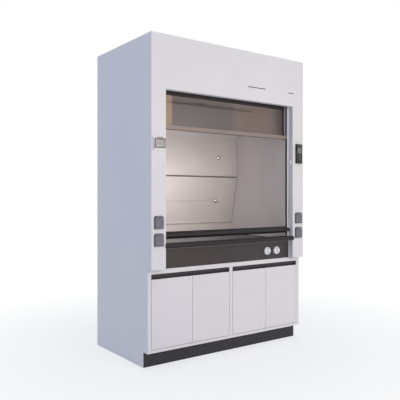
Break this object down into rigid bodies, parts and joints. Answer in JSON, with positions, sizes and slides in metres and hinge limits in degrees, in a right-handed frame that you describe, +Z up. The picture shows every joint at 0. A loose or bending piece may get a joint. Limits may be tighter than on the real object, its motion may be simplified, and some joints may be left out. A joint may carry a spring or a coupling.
{
  "type": "fume hood",
  "caption": "Ducted laboratory fume hood with a counterbalanced vertical sash, service valves, sockets and a cupboard base.",
  "frame": {"origin": "on the floor, under the centre of the overall box", "axes": "+X to the right as seen from the front, +Y from the front to the back, +Z up"},
  "size_m": [1.5, 0.874, 2.41],
  "materials": {
    "casing_white": "satin powder coat",
    "galvanised_sheet": "galvanised",
    "lining": "smooth laminate",
    "baffle_knob": "polished",
    "lamp": "opal diffuser",
    "worktop_resin": "cast resin",
    "dark_coat": "dark satin coat",
    "dark_extrusion": "dark anodised",
    "clear_glass": "clear",
    "black_plastic": "matt",
    "ballast_steel": "primed steel bar",
    "bright_steel": "bright",
    "valve_brass": "machined",
    "white_plastic": "gloss",
    "socket_grey": "moulded",
    "smoked_cover": "smoked, clear",
    "controller_grey": "moulded"
  },
  "bodies": {
    "casing": {"side_panel_left": "casing_white", "side_panel_right": "casing_white", "fascia": "casing_white", "post_left": "casing_white", "post_right": "casing_white", "roof_panel": "casing_white", "base_frame": "casing_white", "cabinet_shell": "casing_white", "shelves": "casing_white", "rear_panel": "galvanised_sheet", "exhaust_duct": "galvanised_sheet", "liner_sides": "lining", "liner_back": "lining", "chamber_ceiling": "lining", "baffle_top": "lining", "baffle_upper": "lining", "baffle_lower": "lining", "baffle_knobs": "baffle_knob", "chamber_lamp": "lamp", "worktop": "worktop_resin", "airfoil": "dark_coat", "control_panel": "dark_coat", "toe_kick": "dark_coat", "pane_frame": "dark_coat", "fixed_pane": "clear_glass", "sash_guides": "black_plastic", "shaft_bearings": "bright_steel", "upper_cables": "bright_steel", "door_pivots": "bright_steel", "levelling_feet": "bright_steel", "valve_bodies": "valve_brass", "breaker_box": "white_plastic", "socket_frames": "socket_grey", "controller_case": "controller_grey"},
    "sash": {"sash_glass": "clear_glass", "sash_handle": "dark_extrusion", "sash_top_rail": "dark_extrusion", "front_cables": "bright_steel"},
    "balance_weight": {"counterweight": "ballast_steel", "rear_cables": "bright_steel"},
    "front_pulleys": {"front_pulley_shaft": "bright_steel"},
    "rear_pulleys": {"rear_pulley_shaft": "bright_steel"},
    "switch_cover": {"breaker_cover": "smoked_cover"},
    "switch_toggle": {"breaker_lever": "black_plastic"},
    "far_left_door": {"door_far_left": "casing_white", "pull_far_left": "dark_coat"},
    "mid_left_door": {"door_mid_left": "casing_white", "pull_mid_left": "dark_coat"},
    "mid_right_door": {"door_mid_right": "casing_white", "pull_mid_right": "dark_coat"},
    "far_right_door": {"door_far_right": "casing_white", "pull_far_right": "dark_coat"},
    "left_upper_lid": {"socket_lid_left_upper": "socket_grey"},
    "left_lower_lid": {"socket_lid_left_lower": "socket_grey"},
    "right_upper_lid": {"socket_lid_right_upper": "socket_grey"},
    "right_lower_lid": {"socket_lid_right_lower": "socket_grey"},
    "upper_key": {"controller_key_upper": "controller_grey"},
    "lower_key": {"controller_key_lower": "controller_grey"},
    "left_valve": {"valve_knob_left": "white_plastic"},
    "right_valve": {"valve_knob_right": "white_plastic"}
  },
  "joints": [
    {"name": "sash_slide", "type": "slide", "parent": "casing", "child": "sash", "axis": [0, 0, 1], "range_m": [-0.026, 0.53], "deforming": ["front_cables"]},
    {"name": "balance_weight_slide", "type": "slide", "parent": "casing", "child": "balance_weight", "axis": [0, 0, 1], "range_m": [-0.53, 0.026], "deforming": ["rear_cables"]},
    {"name": "front_pulley_turn", "type": "hinge", "parent": "casing", "child": "front_pulleys", "pos_m": [0, -0.322, 2.29], "axis": [1, 0, 0], "range_deg": [-1220, 62]},
    {"name": "rear_pulley_turn", "type": "hinge", "parent": "casing", "child": "rear_pulleys", "pos_m": [0, 0.394, 2.29], "axis": [1, 0, 0], "range_deg": [-1220, 62]},
    {"name": "far_left_door_swing", "type": "hinge", "parent": "casing", "child": "far_left_door", "pos_m": [-0.712, -0.358, 0.398], "axis": [0, 0, -1], "range_deg": [0, 110]},
    {"name": "mid_left_door_swing", "type": "hinge", "parent": "casing", "child": "mid_left_door", "pos_m": [-0.023, -0.358, 0.398], "axis": [0, 0, 1], "range_deg": [0, 90]},
    {"name": "mid_right_door_swing", "type": "hinge", "parent": "casing", "child": "mid_right_door", "pos_m": [0.023, -0.358, 0.398], "axis": [0, 0, -1], "range_deg": [0, 90]},
    {"name": "far_right_door_swing", "type": "hinge", "parent": "casing", "child": "far_right_door", "pos_m": [0.712, -0.358, 0.398], "axis": [0, 0, 1], "range_deg": [0, 110]},
    {"name": "left_upper_lid_flip", "type": "hinge", "parent": "casing", "child": "left_upper_lid", "pos_m": [-0.69, -0.42275, 1.0698], "axis": [-1, 0, 0], "range_deg": [0, 105], "stiffness_Nm_per_rad": 0.03, "springref_deg": -17.19},
    {"name": "left_lower_lid_flip", "type": "hinge", "parent": "casing", "child": "left_lower_lid", "pos_m": [-0.69, -0.42275, 0.9478], "axis": [-1, 0, 0], "range_deg": [0, 105], "stiffness_Nm_per_rad": 0.03, "springref_deg": -17.19},
    {"name": "right_upper_lid_flip", "type": "hinge", "parent": "casing", "child": "right_upper_lid", "pos_m": [0.69, -0.42275, 1.0698], "axis": [-1, 0, 0], "range_deg": [0, 105], "stiffness_Nm_per_rad": 0.03, "springref_deg": -17.19},
    {"name": "right_lower_lid_flip", "type": "hinge", "parent": "casing", "child": "right_lower_lid", "pos_m": [0.69, -0.42275, 0.9478], "axis": [-1, 0, 0], "range_deg": [0, 105], "stiffness_Nm_per_rad": 0.03, "springref_deg": -17.19},
    {"name": "switch_cover_flip", "type": "hinge", "parent": "casing", "child": "switch_cover", "pos_m": [-0.69, -0.43225, 1.6218], "axis": [-1, 0, 0], "range_deg": [0, 105]},
    {"name": "switch_toggle_flip", "type": "hinge", "parent": "casing", "child": "switch_toggle", "pos_m": [-0.69, -0.417, 1.58], "axis": [1, 0, 0], "range_deg": [0, 50]},
    {"name": "upper_key_press", "type": "slide", "parent": "casing", "child": "upper_key", "axis": [0, 1, 0], "range_m": [0, 0.0015], "stiffness_N_per_m": 300, "springref_m": -0.001},
    {"name": "lower_key_press", "type": "slide", "parent": "casing", "child": "lower_key", "axis": [0, 1, 0], "range_m": [0, 0.0015], "stiffness_N_per_m": 300, "springref_m": -0.001},
    {"name": "left_valve_turn", "type": "hinge", "parent": "casing", "child": "left_valve", "pos_m": [0.375, -0.367, 0.767], "axis": [0, 1, 0], "range_deg": [0, 90]},
    {"name": "right_valve_turn", "type": "hinge", "parent": "casing", "child": "right_valve", "pos_m": [0.478, -0.367, 0.767], "axis": [0, 1, 0], "range_deg": [0, 90]}
  ],
  "couplings": [
    {"joint": "balance_weight_slide", "follows": "sash_slide", "ratio": -1},
    {"joint": "front_pulley_turn", "follows": "sash_slide", "rad_per_m": -40},
    {"joint": "rear_pulley_turn", "follows": "sash_slide", "rad_per_m": -40}
  ]
}
